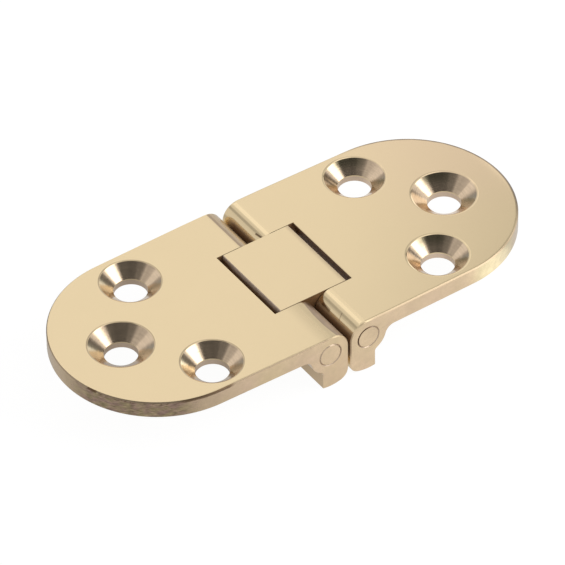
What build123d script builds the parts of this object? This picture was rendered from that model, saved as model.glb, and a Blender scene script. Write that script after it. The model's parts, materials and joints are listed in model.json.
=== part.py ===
from build123d import *
from math import acos, atan2, hypot, sqrt, tan
import os

# Flip-top table hinge in solid brass, laid open and flat. Sizes are in millimetres.
# X runs along the hinge, Y across it, Z up. The origin is the middle of the flush top face,
# halfway between the two pins. The flap leaf lies towards -X, the fixed leaf towards +X, and
# one is the other's mirror image.

# Leaves
hinge_length = 80.0             # end to end with both leaves flat
leaf_width = 34.0               # the free end of each leaf is a half circle of this diameter
knuckle_spread = 0.25           # each side, from the free end's width out to the knuckles'
plate_thickness = 3.0
edge_break = 0.16               # along the outer edges of a leaf

# Pins
pin_spacing = 7.0               # from axis to axis
pin_diameter = 3.8
pin_end_chamfer = 0.14          # on the ends of the pins and the mouths of their bores
running_clearance = 0.05        # radial, link on its pins

# Knuckles and their stop lugs, measured from the pin axis
fold_gap = 0.4                  # between the knuckles when open, and the top faces when folded
knuckle_clearance = 0.1         # left when the two knuckles' corners turn past each other
barrel_radius = 3.4             # round back of the knuckle, below the plate
barrel_fillet = 1.5             # from the barrel into the underside of the plate
lug_reach = 6.4                 # to the foot of the lug, an arc about the pin axis
lug_back = 1.3                  # to the lug's outer face
lug_toe_radius = 2.0            # on the toe, where the two lugs stop each other
lug_fillet = 0.8                # from the lug's outer face into the barrel

# Link and the notch that it lies in
link_width = 15.5
link_side_clearance = 0.1       # each side of the link
link_end_gap = 1.0              # between link and leaf along the top face
gap_edge_break = 0.1            # on the top edges at both ends of the link
notch_clearance = 0.25          # beside the link when it stands at a right angle
undercut_clearance = 0.1        # round the path of the link's top corner

# Screw holes, countersunk from the top
screw_bore = 5.3
countersink_depth = 1.9
side_countersink = 9.6          # across the mouth of the two holes side by side
end_countersink = 10.2          # across the mouth of the single hole
side_hole_inset = 5.95          # from the long side of the leaf
side_hole_setback = 19.2        # from the free end of the leaf
end_hole_setback = 10.1
mouth_break = 0.1               # edge of each cone, dulled by the polishing

# Worked out from the sizes above
leaf_end = hinge_length / 2
end_radius = leaf_width / 2
side_y = end_radius + knuckle_spread
knuckle_width = 2 * side_y
pin_offset = pin_spacing / 2
pin_radius = pin_diameter / 2
pin_depth = (pin_spacing - fold_gap) / 2
underside = pin_depth - plate_thickness
notch_reach = pin_depth + notch_clearance
link_overhang = notch_reach - link_end_gap
corner_reach = (pin_spacing - knuckle_clearance) / 2
knuckle_corner_radius = (sqrt(2) * pin_depth - corner_reach) / (sqrt(2) - 1)


def block(left, right, low, high):
    """Flat rectangle between two pairs of edges."""
    middle = Pos((left + right) / 2, (low + high) / 2)
    return middle * Rectangle(right - left, high - low)


def rounded(section, x, z, radius):
    """Flat section with the corner nearest to a point rounded."""
    place = Vector(x, z)
    corner = min(section.vertices(), key=lambda vertex: (vertex.center() - place).length)
    return fillet(corner, radius)


def across(section, width):
    """Section in X and Z, drawn about a pin axis, carried across the hinge on the fixed side."""
    return Pos(pin_offset, 0, -pin_depth) * extrude(Plane.XZ * section, width / 2, both=True)


def on_pin_axis(body):
    """Round body made along Z, laid across the hinge on the fixed side's pin axis."""
    return Pos(pin_offset, 0, -pin_depth) * Rot(90, 0, 0) * body


def other_side(body):
    """The same body on the flap side."""
    return mirror(body, about=Plane.YZ)


def leaf_section():
    """Plate, knuckle and stop lug of a leaf, drawn about its pin axis."""
    free_end = leaf_end - pin_offset
    plate = block(-pin_depth, free_end, underside, pin_depth)
    knuckle = block(-pin_depth, 0, 0, pin_depth) + Circle(barrel_radius)
    lug = block(-pin_depth, lug_back, -lug_reach, 0) & Circle(lug_reach)
    section = (plate + knuckle + lug) & block(-pin_depth, free_end, -lug_reach, pin_depth)
    section = rounded(section, -pin_depth, pin_depth, knuckle_corner_radius)
    section = rounded(section, -pin_depth, -sqrt(lug_reach**2 - pin_depth**2), lug_toe_radius)
    section = rounded(section, lug_back, -sqrt(barrel_radius**2 - lug_back**2), lug_fillet)
    return rounded(section, sqrt(barrel_radius**2 - underside**2), underside, barrel_fillet)


def leaf_blank():
    """Leaf cut to its plan, the outline drawn taut round the knuckles and the half-round end, with
    its outer edges broken. Each break runs on round the knuckle and the lug."""
    knuckles = block(0, pin_offset + barrel_radius, -side_y, side_y)
    free_end = Pos(leaf_end - end_radius, 0) * Circle(end_radius)
    plan = make_hull(knuckles.edges() + free_end.edges())
    height = pin_depth + lug_reach
    body = across(leaf_section(), knuckle_width) & Pos(0, 0, -height) * extrude(plan, height)
    flats = body.faces().filter_by(Axis.Z)
    rims = [edge for face in flats for edge in face.edges().sort_by(Axis.X)[1:]]
    return chamfer(rims, edge_break)


def notch():
    """Cut for the link. Its end wall leans back below the top face, tangent to the path of the
    link's top corner with a clearance round it."""
    swept_radius = hypot(link_overhang, pin_depth) + undercut_clearance
    lean = atan2(pin_depth, notch_reach) - acos(swept_radius / hypot(pin_depth, notch_reach))
    wall_foot = notch_reach + (pin_depth + lug_reach) * tan(lean)
    outline = Polyline((-pin_offset, pin_depth), (notch_reach, pin_depth), (wall_foot, -lug_reach),
                       (-pin_offset, -lug_reach), close=True)
    return across(make_face(outline), link_width + 2 * link_side_clearance)


def screw_hole(mouth):
    """Bore and cone of a screw hole, below the plate's top face."""
    cone = Pos(0, 0, -countersink_depth / 2) * Cone(screw_bore / 2, mouth / 2, countersink_depth)
    return cone + Pos(0, 0, -plate_thickness / 2) * Cylinder(screw_bore / 2, plate_thickness)


def screw_holes():
    """Two holes side by side, and one nearer to the free end."""
    hole_y = end_radius - side_hole_inset
    pair = [Pos(leaf_end - side_hole_setback, y, 0) * screw_hole(side_countersink)
            for y in (-hole_y, hole_y)]
    return pair + [Pos(leaf_end - end_hole_setback, 0, 0) * screw_hole(end_countersink)]


def pin_bore():
    """Bore through the knuckles for a driven pin, flared at both mouths."""
    flare = Cone(pin_radius, pin_radius + pin_end_chamfer, pin_end_chamfer)
    flare = Pos(0, 0, side_y - pin_end_chamfer / 2) * flare
    return on_pin_axis(Cylinder(pin_radius, knuckle_width) + flare + mirror(flare, about=Plane.XY))


def leaf():
    """Fixed leaf: plate with three screw holes, two knuckles and their stop lugs."""
    body = leaf_blank() - notch() - screw_holes() - pin_bore()
    top_edges = body.faces().filter_by(Axis.Z).sort_by(Axis.Z)[-1].edges()
    mouths = [edge for edge in top_edges if edge.is_closed]
    body = chamfer(mouths, mouth_break)
    wall_edge = body.edges().filter_by(Axis.Y).sort_by_distance((pin_offset + notch_reach, 0, 0))[0]
    return chamfer(wall_edge, gap_edge_break)


def pin():
    """Pin of the fixed leaf, driven through both knuckles and ground flush with their sides."""
    rod = Cylinder(pin_radius, knuckle_width)
    return on_pin_axis(chamfer(rod.edges().filter_by(GeomType.CIRCLE), pin_end_chamfer))


def link():
    """Link between the pins: two round ends with a flat top that reaches out over them."""
    racetrack = SlotCenterToCenter(pin_spacing, 2 * pin_depth)
    top = block(-pin_offset - link_overhang, pin_offset + link_overhang, 0, pin_depth)
    section = Pos(-pin_offset, 0) * (racetrack + top)
    body = across(section, link_width)
    ends = body.faces().sort_by(Axis.Z)[-1].edges().filter_by(Axis.Y)
    body = chamfer(ends, gap_edge_break)
    bore = on_pin_axis(Cylinder(pin_radius + running_clearance, link_width))
    return body - bore - other_side(bore)


fixed_leaf = leaf()
fixed_pin = pin()
pieces = {
    "fixed_leaf": fixed_leaf,
    "fixed_pin": fixed_pin,
    "link": link(),
    "flap_pin": other_side(fixed_pin),
    "flap_leaf": other_side(fixed_leaf),
}

os.makedirs("parts", exist_ok=True)
for name, piece in pieces.items():
    export_step(piece, f"parts/{name}.step")
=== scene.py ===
import json
import math

import bpy
from mathutils import Matrix, Vector


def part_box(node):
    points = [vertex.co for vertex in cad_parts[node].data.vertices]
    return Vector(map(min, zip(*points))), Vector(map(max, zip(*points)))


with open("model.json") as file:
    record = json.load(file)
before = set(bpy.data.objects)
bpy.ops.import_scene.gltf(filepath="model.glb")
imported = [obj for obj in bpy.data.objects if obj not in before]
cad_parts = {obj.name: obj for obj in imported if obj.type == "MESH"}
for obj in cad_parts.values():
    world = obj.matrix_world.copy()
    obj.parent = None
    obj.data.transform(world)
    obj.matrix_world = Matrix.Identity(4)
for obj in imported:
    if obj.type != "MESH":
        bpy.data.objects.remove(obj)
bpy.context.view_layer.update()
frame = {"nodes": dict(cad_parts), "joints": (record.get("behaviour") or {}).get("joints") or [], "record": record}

# Flip-top table hinge in solid brass, open and flat, on a plain pale floor. Its shapes are the
# frame's own pieces, and this script gives them their finishes, the room and the camera. Finishes
# and room work in millimetres, on the frame's own coordinates: X along the hinge, Y across it, Z up,
# with the flush top at Z = 0. The flap leaf lies towards -X and the fixed leaf towards +X. The front
# is -Y.
MM = 0.001

# Places on the hinge, read from the frame
nodes = frame["nodes"]
mounts = {mount["name"]: mount for mount in frame["record"]["mounts"]}
side_hole_x, side_hole_y = (abs(v) / MM for v in mounts["fixed_front_screw_hole"]["pos_m"][:2])
end_hole_x = mounts["fixed_end_screw_hole"]["pos_m"][0] / MM
pin_x, _, pin_z = (v / MM for v in frame["joints"][0]["pos_m"])
leaf_low, leaf_high = (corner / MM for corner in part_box("fixed_leaf"))
link_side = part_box("link")[1].y / MM
foot = leaf_low.z

# Sizes that the frame doesn't give
end_radius = 17.0                   # half-round end of a leaf
knuckle_back = 6.9                  # from here the sides draw in to the half-round end
link_top = 6.05                     # half the length of the link's flat top
notch_side = link_side + 0.1
notch_end = link_top + 1.0
side_mouth = 4.8                    # radius of a countersink's mouth
end_mouth = 5.1
bore_mouth = 2.04                   # radius of a pin bore's mouth

end_centre = leaf_high.x - end_radius
draw_in = (leaf_high.y - end_radius) / (end_centre - knuckle_back)

# Camera, fitted to the photo
camera_azimuth, camera_elevation, camera_roll = -34.08, 41.707, -0.88
camera_distance = 1044.8
camera_offset = (-0.28, -2.237)     # across and up its picture
camera_focal = 6869.3               # in pixels of the photo
photo_width = 565
sensor_width = 36.0

# Room
floor_reach = 2000.0
softbox_elevation, softbox_distance = 33, 450
softbox_level = 2.6                 # of its lamp, which lights the floor
room_fill = 0.65                    # level of the air, on the floor

# Colours of the brass, linear
POLISHED = (0.80, 0.640, 0.400)
POLISHED_PINK = (0.80, 0.618, 0.408)
TURNED = (0.80, 0.620, 0.440)
# Painted reflections and shade on the countersinks' cones
REFLECTED_GOLD = (0.94, 0.790, 0.540)
REFLECTED_BROWN = (0.63, 0.440, 0.265)
TURNED_DIM = (0.64, 0.560, 0.430)
TURNED_DARK = (0.40, 0.335, 0.215)
GROUND = (0.765, 0.605, 0.375)
GROUND_PINK = (0.790, 0.595, 0.415)
GROUND_PIN = (0.7775, 0.600, 0.395)
GROUND_OLIVE = (0.700, 0.590, 0.365)
# Painted shade at the fixed leaf's tip
GROUND_SHADE = (0.640, 0.510, 0.360)
# Dirt, and painted shade on edges
SOIL_AND_SHADE = (0.42, 0.315, 0.215)
# Painted shade under the plate
UNDER_PLATE_SHADE = (0.63, 0.480, 0.305)
BURNISHED = (0.71, 0.56, 0.43)
FILED = (0.46, 0.345, 0.25)
GROOVE_SHADE = (0.60, 0.46, 0.33)
# Painted shade on the top's edges and the far rim
EDGE_SHADE = (0.40, 0.305, 0.205)
RIM_SHADE = (0.20, 0.155, 0.12)
MOTTLED_PINK = (0.40, 0.275, 0.215)
MOTTLED_OLIVE = (0.42, 0.335, 0.195)
# Tarnish, and painted shade in the pin grooves
TARNISH_AND_SHADE = (0.13, 0.068, 0.030)
# Painted shade in the gaps between the parts
SHADE_IN_GAPS = (0.25, 0.135, 0.060)

# What the buffing wheel leaves: the brass's roughness, and how wavy a flat face is
BUFFED = 0.13
BUFFED_WAVES = 0.0022


class Wire:
    """What a node gives out. Arithmetic on wires that carry numbers adds Math nodes."""

    def __init__(self, finish, socket):
        self.finish = finish
        self.socket = socket

    def math(self, operation, *values):
        return self.finish.node("ShaderNodeMath", {"operation": operation}, dict(enumerate(values)))

    def __add__(self, other):
        return self.math("ADD", self, other)

    __radd__ = __add__

    def __sub__(self, other):
        return self.math("SUBTRACT", self, other)

    def __rsub__(self, other):
        return self.math("SUBTRACT", other, self)

    def __mul__(self, other):
        return self.math("MULTIPLY", self, other)

    __rmul__ = __mul__

    def __truediv__(self, other):
        return self.math("DIVIDE", self, other)

    def __pow__(self, other):
        return self.math("POWER", self, other)

    def __abs__(self):
        return self.math("ABSOLUTE", self)

    def least(self, other):
        return self.math("MINIMUM", self, other)

    def most(self, other):
        return self.math("MAXIMUM", self, other)

    def angle(self, other):
        """Angle in radians whose tangent is this over the other."""
        return self.math("ARCTAN2", self, other)

    def rising(self, low, high):
        """0 up to low, 1 from high on, and smooth between them."""
        ends = {"Value": self, "From Min": low, "From Max": high}
        return self.finish.node("ShaderNodeMapRange", {"interpolation_type": "SMOOTHSTEP"}, ends)

    def falling(self, low, high):
        """1 up to low, 0 from high on, and smooth between them."""
        return 1 - self.rising(low, high)


class Finish:
    """The nodes of a material, or of the room's air, while they are made."""

    def __init__(self, owner):
        self.owner = owner
        owner.use_nodes = True
        self.nodes = owner.node_tree.nodes
        self.links = owner.node_tree.links
        self.nodes.clear()

    def node(self, kind, settings, values, output=0):
        """One node: its settings first, then the values or wires of its sockets."""
        made = self.nodes.new(kind)
        for name, setting in settings.items():
            setattr(made, name, setting)
        for socket, value in values.items():
            if isinstance(value, Wire):
                self.links.new(value.socket, made.inputs[socket])
            else:
                made.inputs[socket].default_value = value
        return Wire(self, made.outputs[output])

    def apart(self, vector):
        """The three numbers of a vector."""
        return [self.node("ShaderNodeSeparateXYZ", {}, {0: vector}, i) for i in range(3)]

    def together(self, x, y, z):
        """A vector of three numbers."""
        return self.node("ShaderNodeCombineXYZ", {}, {0: x, 1: y, 2: z})

    def place(self):
        """Where a point is on its piece, in millimetres."""
        metres = self.node("ShaderNodeTexCoord", {}, {}, "Object")
        values = {0: metres, "Scale": 1 / MM}
        return self.apart(self.node("ShaderNodeVectorMath", {"operation": "SCALE"}, values))

    def facing(self):
        """Which way the surface faces, on its own piece."""
        return self.apart(self.node("ShaderNodeTexCoord", {}, {}, "Normal"))

    def ray(self, kind):
        """1 for rays of that kind, and 0 for all others."""
        return self.node("ShaderNodeLightPath", {}, {}, f"Is {kind} Ray")

    def noise(self, x, y, z, size, detail=2.0, roughness=0.5):
        """Cloudy noise from -1 to 1, in patches of about that many millimetres."""
        values = {"Vector": self.together(x, y, z), "Scale": 1 / size, "Detail": detail,
                  "Roughness": roughness}
        return 2 * self.node("ShaderNodeTexNoise", {}, values, "Fac") - 1

    def mix(self, share, low, high):
        """A colour between two colours."""
        low, high = (c if isinstance(c, Wire) else (*c, 1.0) for c in (low, high))
        return self.node("ShaderNodeMix", {"data_type": "RGBA"}, {0: share, 6: low, 7: high}, 2)

    def matt(self, grey):
        """Matt grey paint."""
        return self.node("ShaderNodeBsdfDiffuse", {}, {"Color": (grey, grey, grey, 1.0)})

    def glow(self, level):
        """White light of the surface's own."""
        return self.node("ShaderNodeEmission", {}, {"Strength": level})

    def raised(self, height):
        """A normal bent by a height in millimetres."""
        return self.node("ShaderNodeBump", {}, {"Height": height, "Distance": MM}, "Normal")

    def done(self, shader, kind="ShaderNodeOutputMaterial"):
        """The finished material or air, with its shader joined to the output."""
        output = self.nodes.new(kind)
        self.links.new(shader.socket, output.inputs["Surface"])
        return self.owner


def new_finish(name):
    """A material of that name, still to be made."""
    return Finish(bpy.data.materials.new(name))


def brass(finish, colour, roughness, height, metallic):
    """The finished brass, with its surface raised by the height in millimetres."""
    values = {"Base Color": colour, "Metallic": metallic, "Roughness": roughness,
              "Normal": finish.raised(height)}
    return finish.done(finish.node("ShaderNodeBsdfPrincipled", {}, values))


def shades(finish, share, colour, spread):
    """A colour from darker to lighter by the spread, as the share goes from -1 to 1."""
    tint = finish.together(*[1 + share * spread] * 3)
    values = {"Factor": 1.0, 6: colour if isinstance(colour, Wire) else (*colour, 1.0), 7: tint}
    return finish.node("ShaderNodeMix", {"data_type": "RGBA", "blend_type": "MULTIPLY"}, values, 2)


def milled(finish, x, y, z):
    """Milling marks that run along the pins."""
    return finish.noise(x * 9.0, y * 0.35, z * 9.0, 1.0, 2.0)


def stains(finish, x, y, z, patches):
    """Small stains on top of the patches."""
    return patches + finish.noise(x, y, z, 0.8, 1.0) * 0.7


def hole_distance(x, y):
    """How far a point lies outside the mouth of the nearest screw hole, on either leaf, and how far
    from that hole's axis. The leaves mirror each other, and each is its own mirror image from front
    to back, so one side hole and one end hole stand for all six."""
    x, y = abs(x), abs(y)
    side = ((x - side_hole_x) ** 2 + (y - side_hole_y) ** 2) ** 0.5
    end = ((x - end_hole_x) ** 2 + y ** 2) ** 0.5
    return (side - side_mouth).least(end - end_mouth), side.least(end)


def stroke(x, y, start, end, width):
    """Scratch or nick along a short line: 1 nearer to the line than half its width, and 0 from its
    width on."""
    along_x, along_y = end[0] - start[0], end[1] - start[1]
    share = ((x - start[0]) * along_x + (y - start[1]) * along_y) / (along_x ** 2 + along_y ** 2)
    share = share.most(0).least(1)
    off_x, off_y = x - start[0] - share * along_x, y - start[1] - share * along_y
    return ((off_x ** 2 + off_y ** 2) ** 0.5).falling(width / 2, width)


def rounded_off(depth, radius):
    """Height of a surface that rounds off towards an edge, at a depth in from that edge: nothing
    from the radius on, and half the radius lower at the edge itself, along a parabola."""
    into = (radius - depth).most(0)
    return into * into * (-0.5 / radius)


# In the finishes below, the limits of x, y, z and of distances are places in millimetres, those of
# nx, ny and nz are parts of a unit normal, and masks, marks and dirt are shares from 0 to 1.


def groove_shade(finish, x, z):
    """Fine groove of a pin, dull with painted shade, and darkest at the fixed pin's upper left."""
    shaded_upper_left = x.rising(0, 1) * (z - x).rising(pin_z - pin_x, pin_z - pin_x + 1.8)
    return finish.mix(shaded_upper_left, GROOVE_SHADE, TARNISH_AND_SHADE)


def gap_shade_share(x, y, z, ny):
    """Painted shade between the two leaves and on the walls of the notch."""
    between = (abs(x).falling(1.2, 2.0) * z.falling(-1.9, -1.1) * abs(ny).falling(0.5, 0.9)
               * y.falling(14.0, 16.8) * z.rising(-6.5, -4.5))
    in_notch = (abs(y).falling(notch_side + 0.02, notch_side + 0.1) * z.falling(-0.16, -0.09)
                * abs(x).falling(notch_end + 1.0, notch_end + 1.2) * z.rising(-5.6, -4.0))
    return between.most(in_notch)


def turned_colour(finish, z, nx, ny, fixed, rings, chatter):
    """Turned cones of the countersinks, shaded by their rings and chatter, with painted reflections.
    Their left walls are painted golden in the flap leaf and brown in the fixed leaf, and their front
    right walls are painted dimmer. High on the back wall, the fixed leaf's cones have a painted dark
    sector."""
    gold_reflection = nx.rising(0.40, 0.50) * ny.falling(0.0, 0.25)
    dim = nx.falling(-0.25, -0.10) * ny.rising(0.25, 0.40)
    dark = (fixed * ny.falling(-0.55, -0.30) * nx.falling(0.02, 0.16)
            * (z + chatter * 0.2).rising(-1.5, -0.3))
    # Painted reflections and shade, by which way the cone faces
    colour = finish.mix(gold_reflection, TURNED, finish.mix(fixed, REFLECTED_GOLD, REFLECTED_BROWN))
    colour = finish.mix(dim, colour, TURNED_DIM)
    colour = finish.mix(dark, colour, TURNED_DARK)
    return shades(finish, rings + chatter * 0.5, colour, 0.20)


def ground_colour(finish, x, y, z, clouds, patches):
    """Finely ground outer wall of the leaves, in two tones that change from cloud to cloud, with
    stains of two sizes. It turns olive round the front of the fixed leaf's end, and its tip is
    painted darker, as shade."""
    colour = finish.mix(0.5 + clouds, GROUND, GROUND_PINK)
    olive = x.rising(22.5, 25) * (y + patches).falling(-15, -13)
    colour = finish.mix(olive, colour, GROUND_OLIVE)
    # Painted shade at the fixed leaf's tip
    colour = finish.mix(x.rising(32, 35), colour, GROUND_SHADE)
    return shades(finish, stains(finish, x, y, z, patches), colour, 0.10 + olive * 0.11)


def edge_damage(x, y, z, coarse, off_top, patches, specks):
    """Tarnished damage just below the top of the flap leaf's wall: a burr along the front, nicks
    where the wall is coarse, and a dent at the end."""
    burr = ((x + patches).falling(-21.5, -20.5) * (x + specks).rising(-31.0, -28.5)
            * y.falling(-15.0, -14.0) * (z + specks * 0.12).rising(-0.50, -0.36) * off_top)
    nicks = coarse * (z + patches * 0.5).rising(-0.7, -0.3) * specks.rising(0.0, 0.35)
    dent = (abs(y + 5.8 + specks * 0.3).falling(0.6, 0.9) * x.falling(-37.0, -36.0)
            * (z + specks * 0.1).rising(-0.50, -0.30) * off_top)
    return (burr * 0.75).most(nicks * 0.6).most(dent * 0.8)


def knuckle_marks(x, y, z):
    """Three marks on the rounding of the fixed leaf's knuckle: one behind the link and two in front
    of it, the fainter the further to the front."""
    behind = stroke(x, y, (1.30, 9.55), (1.44, 8.27), 0.16)
    near_link = stroke(x, y, (0.84, -9.10), (0.77, -10.80), 0.24)
    near_front = stroke(x, y, (0.77, -13.44), (1.53, -13.09), 0.12)
    marks = behind.most(near_link * 0.7).most(near_front * 0.5)
    return marks * z.falling(-0.3, -0.1) * z.rising(-2.0, -1.5)


def filing(x, y, z, inward, flap, chatter, specks):
    """What the file left along the flap leaf's knuckle: its facet and the dark line along the facet's
    edge. The facet is darker at its end beside the link. Behind the link the edge is straight.
    In front of it the edge is a parabola, which lies half a millimetre further from the hinge's
    middle at Y = -12.9 than 4.9 mm to either side."""
    on_knuckle = flap * z.rising(-1.8, -1.4) * inward.rising(0.2, 0.3)
    front, back = y.falling(-7.9, -7.6), y.rising(7.6, 7.9)
    bow = (1 - ((y + 12.9) / 4.9) ** 2).most(0) * 0.50
    edge = 2.05 + bow + chatter * 0.06
    facet = on_knuckle * (front * (x + edge).rising(0.0, 0.12) + back * x.rising(-2.9, -2.6) * 0.6)
    line = on_knuckle * (back * abs(x + 2.52 + chatter * 0.05).falling(0.16, 0.30)
                         + front * abs(x + edge - 0.12).falling(0.06, 0.20) * 0.85)
    darker_end = facet * front * (y + specks * 0.5).rising(-10.4, -8.3) * x.rising(-2.0, -1.4)
    return facet, line, darker_end


def leaf_finish():
    """Leaf: buffed top and rounded knuckle, turned countersinks, ground sides and ends, and an
    underside left from the milling."""
    f = new_finish("leaf_brass")
    x, y, z = f.place()
    nx, ny, nz = f.facing()
    fixed = x.rising(-1, 1)
    flap = 1 - fixed

    # Distances: in from the leaf's outline, whose sides draw in towards the half-round end, out from
    # the pin, and out from the screw holes
    cap_x = (abs(x) - end_centre).most(0)
    side = end_radius + (end_centre - abs(x).most(knuckle_back)).most(0) * draw_in
    inward = side - (cap_x ** 2 + y ** 2) ** 0.5
    from_pin = ((abs(x) - pin_x) ** 2 + (z - pin_z) ** 2) ** 0.5
    past_mouth, from_axis = hole_distance(x, y)

    # Faces. A flare is the fine groove round a pin's end, and the far rim is the fixed leaf's edge,
    # from the back round to the end.
    on_top = nz.rising(0.90, 0.985) * z.rising(-0.3, -0.1)
    off_top = 1 - on_top
    on_cone = past_mouth.falling(0.0, 0.05) * nz.rising(0.4, 0.6) * nz.falling(0.85, 0.9)
    in_bore = past_mouth.falling(-1.0, -0.9) * abs(nz).falling(0.2, 0.4)
    on_edge = inward.falling(0.18, 0.22) * nz.rising(0.5, 0.6) * nz.falling(0.8, 0.9)
    on_wall = inward.falling(0.18, 0.22) * off_top * (1 - on_edge)
    below = nz.falling(-0.9, -0.6)
    lug_back = z.falling(-3.4, -3.05) * abs(x).rising(3.0, 4.0) * (1 - on_wall)
    flare = from_pin.falling(bore_mouth, bore_mouth + 0.1) * abs(ny).falling(0.9, 0.97)
    far_rim = x.rising(20, 28) * y.rising(-13, -6)

    # Grain of the metal, in clouds, patches and specks, and the chatter of the tools
    clouds = f.noise(x, y, z, 7.0, 3.0, 0.6)
    patches = f.noise(x, y, z, 2.6, 2.0)
    specks = f.noise(x, y, z, 0.45, 2.0)
    chatter = f.noise(x, y, z, 1.7, 1.0)
    rings = f.noise(from_axis * 7, x * 0.5, y * 0.5, 1.0, 2.0)

    # Streaks along the outer wall, which run with it round the ends: the flap leaf's round end was
    # ground coarsely, and all the rest finely. The front and the back wall have their own.
    along = abs(x).least(end_centre) + cap_x.angle(abs(y)) * end_radius
    own = y.rising(-1, 1) * 9
    streaks = f.noise(along * 0.40, own, z * 1.9, 0.46, 3.0, 0.70)
    mottle = f.noise(along * 0.7, own, z * 1.3, 1.3, 1.0)
    fine_streaks = f.noise(along * 0.3, own, z * 2.0, 0.30, 2.0)
    coarse = on_wall * x.falling(-31.0, -25.0) * y.falling(-7.0, 2.0)

    # Wear, dirt and painted shade. The flap leaf's knuckle is rougher, and painted in shade, except
    # behind the link. The top's edges are painted in shade, least near the knuckles. There is a painted
    # dark line of shade just inside the far rim, and a thin dark line round the flap leaf's countersinks.
    gap_shade = gap_shade_share(x, y, z, ny)
    facet, line, darker_end = filing(x, y, z, inward, flap, chatter, specks)
    knuckle_shade = flap * x.rising(-5.9, -2.9) * y.falling(7.6, 7.9)
    shaded_edges = (x.falling(-4.5, -2.5) + x.rising(3.0, 5.0) * 0.7 + far_rim).least(1)
    rim_line = on_top * far_rim * (inward + chatter * 0.08).falling(0.24, 0.50)
    mouth_line = flap * past_mouth.rising(-0.05, 0.0) * past_mouth.falling(0.10, 0.16)
    bore_lip = in_bore * z.rising(-2.16, -2.02)

    # Buffing left the flats slightly wavy, and rounded the top's edges and the mouths. The fixed
    # leaf's countersinks were drilled a little askew, so their cones lean along X.
    waves = f.noise(x, y, 0, 9.0, 1.0) * BUFFED_WAVES + f.noise(x, y, 0, 2.4, 0.0) * 0.00016
    edges = rounded_off(inward + chatter * 0.05, 0.42) * (0.15 + fixed * 0.30) * (1 - far_rim)
    mouths = rounded_off(past_mouth, 0.30) * 0.2
    lean = x * fixed * (0.06 + y.rising(-6.2, -5.1) * 0.08)
    height = (on_top * (waves + edges + mouths)
              + on_cone * (rings * 0.0026 + chatter * (0.0040 + fixed * 0.0030) + lean)
              + on_wall * (coarse * streaks * 0.016 + fine_streaks * 0.0012)
              + below * milled(f, x, y, z) * 0.002)

    # Colour, face by face
    colour = f.mix(x.rising(12, 40) * y.rising(-14, 6), POLISHED, POLISHED_PINK)
    # Painted shade over the flap leaf's knuckle
    colour = shades(f, clouds - knuckle_shade * 7, colour, 0.015)
    colour = f.mix(on_cone, colour, turned_colour(f, z, nx, ny, fixed, rings, chatter))
    colour = f.mix(on_wall, colour, ground_colour(f, x, y, z, clouds, patches))
    # Painted shade on the edges of the top, least near the knuckles, darkest on the far rim
    edge_colour = f.mix(far_rim, f.mix(fixed, EDGE_SHADE, SOIL_AND_SHADE), RIM_SHADE)
    colour = f.mix(on_edge * (0.25 + shaded_edges * 0.75), colour, edge_colour)
    # Painted line of shade just inside the far rim
    colour = f.mix(rim_line * 0.85, colour, RIM_SHADE)
    mottled = f.mix(mottle.rising(-0.35, 0.35), MOTTLED_OLIVE, MOTTLED_PINK)
    colour = f.mix(coarse, colour, shades(f, streaks * 2.8, mottled, 0.50))
    colour = f.mix(in_bore, colour, shades(f, patches, BURNISHED, 0.10))
    colour = f.mix(bore_lip, colour, POLISHED)
    colour = f.mix(below, colour, GROUND)
    # Painted shade under the plate, on the lugs and the fillets
    colour = f.mix(lug_back, colour, UNDER_PLATE_SHADE)

    # and over it the wear, the dirt, and the painted shade in the grooves and gaps
    colour = f.mix(edge_damage(x, y, z, coarse, off_top, patches, specks), colour, TARNISH_AND_SHADE)
    colour = f.mix(facet, colour, shades(f, chatter, FILED, 0.15))
    colour = f.mix(line * 0.9, colour, SOIL_AND_SHADE)
    colour = f.mix(darker_end * 0.75, colour, TARNISH_AND_SHADE)
    colour = f.mix(knuckle_marks(x, y, z) * 0.8, colour, TARNISH_AND_SHADE)
    # Painted shade in the groove round the pin's end
    colour = f.mix(flare, colour, groove_shade(f, x, z))
    # Painted shade in the gaps between the leaves and on the notch walls
    colour = f.mix(gap_shade, colour, SHADE_IN_GAPS)
    colour = f.mix(mouth_line * 0.5, colour, SOIL_AND_SHADE)

    roughness = (BUFFED + clouds * 0.015 + on_cone * 0.03 + on_wall * (0.10 + patches * 0.04)
                 + coarse * 0.14 + in_bore * 0.20 + below * 0.16 + gap_shade * 0.50 + on_edge * 0.15
                 + facet * 0.20 + knuckle_shade * 0.16)
    metallic = 1 - gap_shade * 0.8 - facet * 0.35 - flare * 0.5
    return brass(f, colour, roughness, height, metallic)


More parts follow.
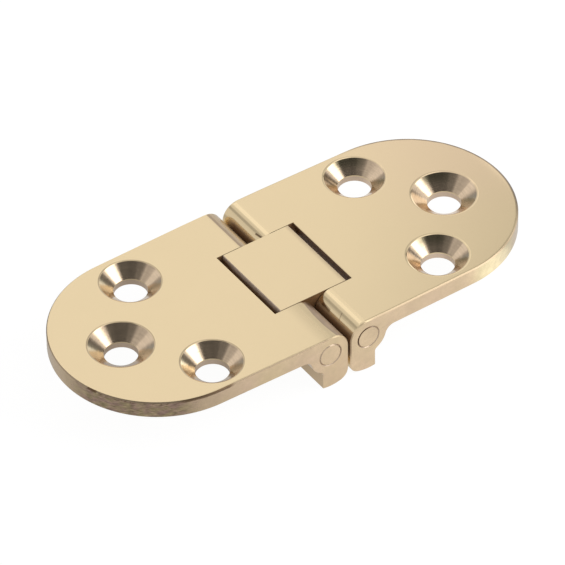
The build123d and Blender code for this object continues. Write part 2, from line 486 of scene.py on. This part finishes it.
def link_finish():
    """Link: top buffed with the leaves, with painted shade along its front edge and at the end towards
    the fixed leaf. The rest was milled along the pins, and is painted in shade further in and on its cheeks."""
    f = new_finish("link_brass")
    x, y, z = f.place()
    _, ny, nz = f.facing()
    clouds = f.noise(x, y, z, 7.0, 3.0, 0.6)
    smudges = f.noise(x, y, z, 1.2, 2.0)
    on_top = nz.rising(0.90, 0.985)
    off_top = 1 - on_top
    on_cheek = abs(ny).rising(0.7, 0.9)
    inside = off_top * z.rising(-5.6, -4.0)
    # Painted shade on the inside, further in and on the cheeks
    deep_shade = (z + smudges * 0.12).falling(-1.15, -0.4).most(on_cheek)
    # Painted shade along the end towards the fixed leaf
    end_shade = on_top * (x + smudges * 0.12).rising(link_top - 0.95, link_top + 0.05)
    # Painted shade along the front edge, beside the gap
    front_edge_shade = on_top * y.falling(0.03 - link_side, 0.10 - link_side)

    colour = shades(f, clouds, POLISHED, 0.015)
    colour = f.mix(end_shade * 0.6, colour, SOIL_AND_SHADE)
    colour = f.mix(inside, colour, shades(f, smudges, BURNISHED, 0.15))
    colour = f.mix(inside * deep_shade, colour, SHADE_IN_GAPS)
    colour = f.mix(front_edge_shade * 0.7, colour, SOIL_AND_SHADE)
    height = (on_top * f.noise(x, y, 0, 9.0, 1.0) * BUFFED_WAVES
              + off_top * milled(f, x, y, z) * 0.0015)
    roughness = BUFFED + off_top * 0.12 + inside * 0.18 + clouds * 0.015
    return brass(f, colour, roughness, height, 1 - inside * 0.7)


def pin_finish():
    """Pin: drawn rod whose ends were ground flush with the sides of the leaf."""
    f = new_finish("pin_brass")
    x, y, z = f.place()
    _, ny, _ = f.facing()
    patches = f.noise(x, y, z, 2.6, 2.0)
    scratches = f.noise(x * 0.4, y, z * 5.0, 0.8, 2.0)
    groove = abs(ny).falling(0.8, 0.95)
    colour = shades(f, stains(f, x, y, z, patches), GROUND_PIN, 0.11)
    # Painted shade in the groove at the pin's end
    colour = f.mix(groove, colour, groove_shade(f, x, z))
    return brass(f, colour, 0.22 + patches * 0.04, scratches * 0.0009, 1 - groove * 0.5)


def flat_sheet(name, half_x, half_y, z, material):
    """Flat rectangle about the Z axis at a height, all in millimetres."""
    corners = [(-half_x, -half_y), (half_x, -half_y), (half_x, half_y), (-half_x, half_y)]
    mesh = bpy.data.meshes.new(name)
    mesh.from_pydata([(x * MM, y * MM, z * MM) for x, y in corners], [], [(0, 1, 2, 3)])
    mesh.materials.append(material)
    sheet = bpy.data.objects.new(name, mesh)
    bpy.context.scene.collection.objects.link(sheet)
    return sheet


def hang(thing, azimuth, elevation, distance, about=(0, 0, 0)):
    """Hangs a panel or a lamp that far from a point, turned to it and out of the camera's sight.
    The azimuth counts from +X towards +Y, in degrees."""
    a, e = math.radians(azimuth), math.radians(elevation)
    way = Vector((math.cos(a) * math.cos(e), math.sin(a) * math.cos(e), math.sin(e)))
    thing.location = (Vector(about) + way * distance) * MM
    thing.rotation_mode = "QUATERNION"
    thing.rotation_quaternion = way.to_track_quat("Z", "Y")
    thing.visible_camera = False


def panel(name, azimuth, elevation, distance, width, height, level, soft, uneven=0.0, about=(0, 0, 0)):
    """White or grey sheet of the room, seen only in the metal. Its light fades out over a soft edge,
    as far outside its size as inside, and is patchy by the share uneven."""
    f = new_finish(name)
    x, y, _ = f.place()
    inside = (abs(x).falling(width / 2 - soft, width / 2 + soft)
              * abs(y).falling(height / 2 - soft, height / 2 + soft))
    if uneven:
        level = level * (1 + f.noise(x, y * 0.6, 0, 55.0, 2.0) * uneven)
    clear = f.node("ShaderNodeBsdfTransparent", {}, {})
    material = f.done(f.node("ShaderNodeMixShader", {}, {0: inside, 1: clear, 2: f.glow(level)}))
    sheet = flat_sheet(name, width / 2 + soft, height / 2 + soft, 0, material)
    hang(sheet, azimuth, elevation, distance, about)
    sheet.visible_diffuse = False
    sheet.visible_shadow = False


def studio():
    """Room that the brass mirrors. The flat top mirrors the pale back wall. The countersinks, the
    knuckles and the edges mirror what stands round it: the softbox in front on the right, the dark
    ceiling over the camera, the shaded left side, the skylight and the overhead sheet, two dark gaps
    low down, and a white block just past the end of the fixed leaf."""
    # Each: azimuth, elevation, distance, width, height, level, soft edge, and how uneven it is
    panel("softbox", -41, softbox_elevation, softbox_distance, 254, 290, 2.5, 9)
    panel("dark_ceiling", -114, 60, 420, 410, 250, 0.10, 18, 0.6)
    panel("left_shade", -171, 58, 470, 250, 330, 0.17, 35)
    panel("left_wall", 162, 43, 520, 440, 250, 0.50, 25, 0.5)
    panel("skylight", 88, 51, 480, 165, 130, 1.15, 25)
    panel("corner_shade", 126.5, 39, 470, 98, 88, 0.46, 12)
    panel("back_wall", 56, 42, 600, 420, 420, 1.0, 60)
    panel("right_wall", 33.0, 48, 560, 247, 304, 0.56, 45)
    panel("overhead", 6, 68, 500, 230, 230, 1.15, 50)
    panel("right_gap", 4, 20, 520, 300, 170, 0.16, 20)
    panel("back_gap", 98, 8, 520, 300, 125, 0.38, 35)
    panel("white_block", 0, 0, 46, 36, 8, 1.45, 1.5, 0, (0, -1, 4.8))

    # Light on the floor: the softbox once more, as a lamp that the metal doesn't mirror. A lamp's
    # energy is its level times pi times its area in square metres.
    lamp = bpy.data.lights.new("softbox_light", "AREA")
    lamp.shape = "RECTANGLE"
    lamp.size, lamp.size_y = 0.43, 0.30
    lamp.energy = softbox_level * math.pi * lamp.size * lamp.size_y
    light = bpy.data.objects.new("softbox_light", lamp)
    bpy.context.scene.collection.objects.link(light)
    hang(light, -33, softbox_elevation, softbox_distance)
    light.visible_glossy = False


def room():
    """Air and far walls: white for the camera and in the metal, a plain fill on the floor."""
    f = Finish(bpy.data.worlds.new("room"))
    seen = (f.ray("Camera") + f.ray("Glossy") + f.ray("Transmission")).least(1)
    background = f.node("ShaderNodeBackground", {}, {"Strength": room_fill + seen * (1 - room_fill)})
    bpy.context.scene.world = f.done(background, "ShaderNodeOutputWorld")


def floor():
    """Plain pale floor that the lugs stand on. The camera sees it white, with a faint shadow. In the
    metal it is a grey paper with painted light: lighter towards the fixed leaf, with a painted pool of
    light in front of that leaf's end, and a painted shadow under the hinge."""
    f = new_finish("pale_floor")
    x, y, _ = f.place()
    # Painted light and shadow on the paper that the metal mirrors
    from_light_pool = ((x - 35.5) ** 2 + (y + 20) ** 2) ** 0.5
    shadow_under = abs(x).falling(32, 39) * abs(y).falling(10, 16)
    level = 0.40 + x.rising(-23, -9) * 0.17 + x.rising(-9, 4) * 0.09 - x.rising(38, 42) * 0.10
    level = (level + from_light_pool.falling(2, 11) * 0.55) * (1 - shadow_under * 0.15)

    seen = f.node("ShaderNodeAddShader", {}, {0: f.matt(0.09), 1: f.glow(0.955)})
    mirrored = f.node("ShaderNodeAddShader", {}, {0: f.matt(0.25), 1: f.glow(level)})
    unseen = f.node("ShaderNodeMixShader", {}, {0: f.ray("Glossy"), 1: f.matt(0.80), 2: mirrored})
    shader = f.node("ShaderNodeMixShader", {}, {0: f.ray("Camera"), 1: unseen, 2: seen})
    ground = flat_sheet("floor", floor_reach, floor_reach, foot, f.done(shader))


def camera():
    """Camera of the photo. Its picture's middle looks past the origin by the offset."""
    a, e, r = (math.radians(v) for v in (camera_azimuth, camera_elevation, camera_roll))
    back = Vector((math.sin(a) * math.cos(e), -math.cos(a) * math.cos(e), math.sin(e)))
    level = Vector((math.cos(a), math.sin(a), 0.0))
    upright = back.cross(level)
    across = math.cos(r) * level + math.sin(r) * upright
    up = math.cos(r) * upright - math.sin(r) * level
    place = back * camera_distance + across * camera_offset[0] + up * camera_offset[1]
    data = bpy.data.cameras.new("camera")
    data.sensor_width = sensor_width
    data.lens = camera_focal / photo_width * sensor_width
    data.clip_start, data.clip_end = 0.01, 20.0
    made = bpy.data.objects.new("camera", data)
    bpy.context.scene.collection.objects.link(made)
    turn = Matrix((across, up, back)).transposed()
    made.matrix_world = Matrix.Translation(place * MM) @ turn.to_4x4()
    bpy.context.scene.camera = made


def dress(node, material):
    """Gives a piece of the frame its finish."""
    nodes[node].data.materials.clear()
    nodes[node].data.materials.append(material)


leaf_brass = leaf_finish()
dress("fixed_leaf", leaf_brass)
dress("flap_leaf", leaf_brass)
dress("link", link_finish())
pin_brass = pin_finish()
dress("fixed_pin", pin_brass)
dress("flap_pin", pin_brass)
camera()
room()
studio()
floor()
bpy.context.scene.view_settings.view_transform = "Standard"
